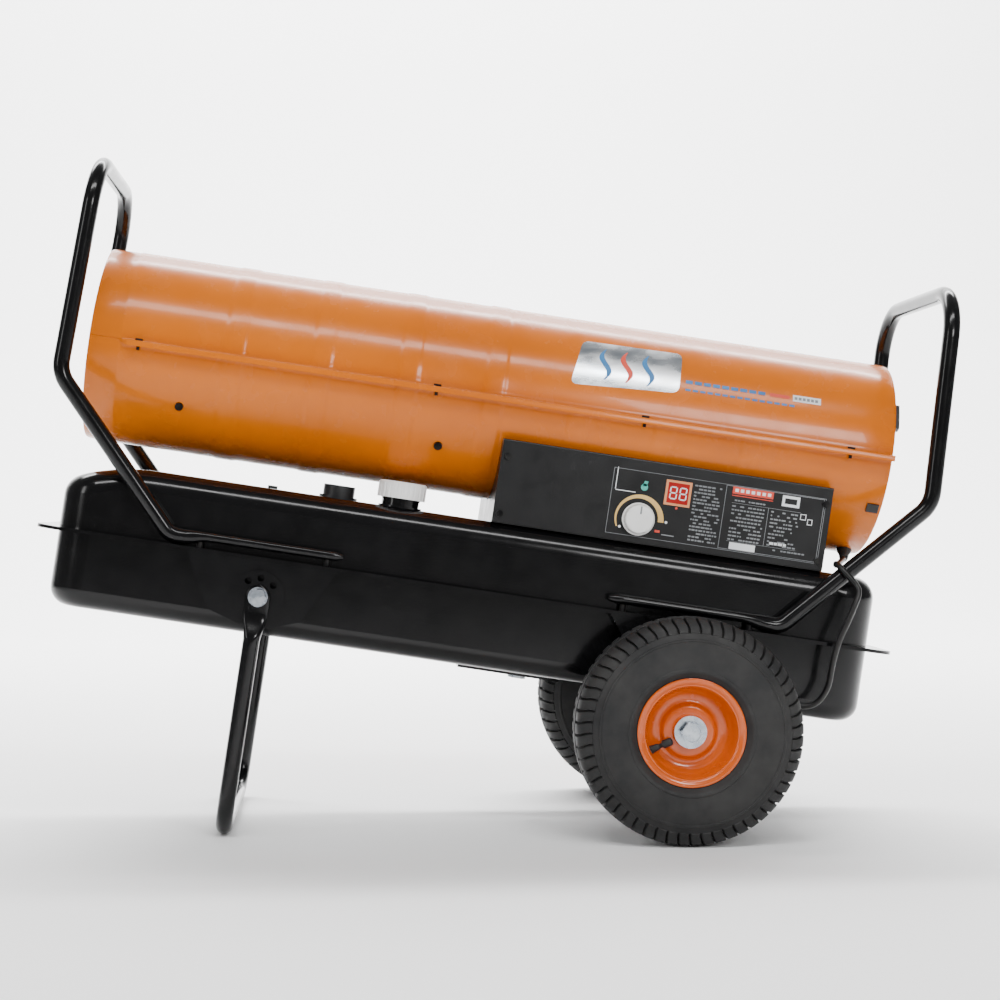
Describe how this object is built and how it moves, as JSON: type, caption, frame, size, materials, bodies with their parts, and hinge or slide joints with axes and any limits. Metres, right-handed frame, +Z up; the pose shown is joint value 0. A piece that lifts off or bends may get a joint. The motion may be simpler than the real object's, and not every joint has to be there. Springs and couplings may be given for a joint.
{
  "type": "forced-air kerosene heater",
  "caption": "Wheeled forced-air kerosene heater: a horizontal burner barrel over a pressed fuel tank, with carrying handles, a folding leg and a control box.",
  "frame": {"origin": "on the floor, below the middle of the object's box", "axes": "+X towards the fan end, +Y from the control-panel side to the far side, +Z up; the chassis is raked 8.6 degrees, outlet end up"},
  "size_m": [1.0926, 0.5, 0.8027],
  "materials": {
    "tank_black": "gloss black powder coat",
    "frame_black": "gloss black paint on steel tube",
    "shell_orange": "gloss orange paint",
    "rim_orange": "gloss orange paint",
    "tyre_rubber": "matt black rubber",
    "box_black": "satin black paint",
    "zinc": "bright zinc plate",
    "black_steel": "black oxide",
    "white_plastic": "moulded",
    "black_plastic": "moulded",
    "display_plastic": "smoked window in a pale orange frame",
    "hot_steel": "heat-stained steel",
    "galvanised": "galvanised sheet",
    "brass": "turned",
    "ceramic": "glazed",
    "motor_grey": "satin",
    "cast_alloy": "cast",
    "board_green": "circuit board",
    "rubber": "moulded",
    "cord_pvc": "smooth sheath",
    "fuel_hose": "translucent hose"
  },
  "bodies": {
    "chassis": {"tank_lower_shell": "tank_black", "tank_upper_shell": "tank_black", "drain_plug": "zinc", "filler_neck": "tank_black", "fuel_gauge": "black_plastic", "tank_vent": "black_plastic", "fuel_pickup": "brass", "fuel_line": "fuel_hose", "front_handle": "frame_black", "rear_handle": "frame_black", "handle_bolts": "black_steel", "handle_nuts": "zinc", "leg_brackets": "frame_black", "leg_pivot_bolts": "zinc", "axle_brackets": "frame_black", "axle": "zinc", "axle_washers": "zinc", "axle_nuts": "zinc", "barrel_upper_shell": "shell_orange", "barrel_lower_shell": "shell_orange", "barrel_screws": "black_steel", "combustion_chamber": "hot_steel", "chamber_supports": "galvanised", "flame_baffle": "hot_steel", "burner_head": "hot_steel", "nozzle": "brass", "igniter_electrodes": "ceramic", "photocell": "black_plastic", "motor_body": "motor_grey", "motor_bracket": "galvanised", "air_pump": "cast_alloy", "base_box": "box_black", "control_panel": "box_black", "panel_screws": "black_steel", "thermostat_pot": "cast_alloy", "display_module": "display_plastic", "circuit_board": "board_green", "ignition_transformer": "motor_grey", "rear_guard": "frame_black", "guard_clips": "black_plastic", "strain_relief": "rubber", "power_cord": "cord_pvc", "cord_coil": "cord_pvc", "cord_tie": "black_plastic", "power_plug": "rubber"},
    "fan": {"fan_blade": "galvanised", "motor_shaft": "zinc"},
    "knob": {"control_knob": "white_plastic"},
    "cap_seal": {"cap_gasket": "rubber"},
    "cap": {"filler_cap": "white_plastic"},
    "leg": {"support_leg": "frame_black"},
    "float": {"gauge_float": "white_plastic"},
    "near_wheel": {"near_tyre": "tyre_rubber", "near_rim": "rim_orange", "near_wheel_bush": "black_plastic", "near_valve_stem": "rubber"},
    "far_wheel": {"far_tyre": "tyre_rubber", "far_rim": "rim_orange", "far_wheel_bush": "black_plastic", "far_valve_stem": "rubber"}
  },
  "joints": [
    {"name": "near_wheel_spin", "type": "hinge", "parent": "chassis", "child": "near_wheel", "pos_m": [0.20747, -0.21, 0.13], "axis": [0, 1, 0], "continuous": true},
    {"name": "far_wheel_spin", "type": "hinge", "parent": "chassis", "child": "far_wheel", "pos_m": [0.20747, 0.21, 0.13], "axis": [0, 1, 0], "continuous": true},
    {"name": "leg_fold", "type": "hinge", "parent": "chassis", "child": "leg", "pos_m": [-0.28459, 0, 0.28027], "axis": [0, 1, 0], "range_deg": [-75, 0]},
    {"name": "fan_spin", "type": "hinge", "parent": "chassis", "child": "fan", "pos_m": [0.19638, 0, 0.48465], "axis": [0.9888, 0, -0.1495], "continuous": true},
    {"name": "knob_turn", "type": "hinge", "parent": "chassis", "child": "knob", "pos_m": [0.16351, -0.128, 0.37028], "axis": [0, -1, 0], "range_deg": [-135, 135]},
    {"name": "cap_lift", "type": "slide", "parent": "chassis", "child": "cap_seal", "axis": [0.1495, 0, 0.9888], "range_m": [0, 0.014]},
    {"name": "cap_unscrew", "type": "hinge", "parent": "cap_seal", "child": "cap", "pos_m": [-0.11573, -0.092, 0.40037], "axis": [0.1495, 0, 0.9888], "range_deg": [0, 540]},
    {"name": "float_rise", "type": "slide", "parent": "chassis", "child": "float", "axis": [0.1495, 0, 0.9888], "range_m": [0, 0.1]}
  ],
  "couplings": [
    {"joint": "cap_lift", "follows": "cap_unscrew", "m_per_rad": 0.001484}
  ]
}
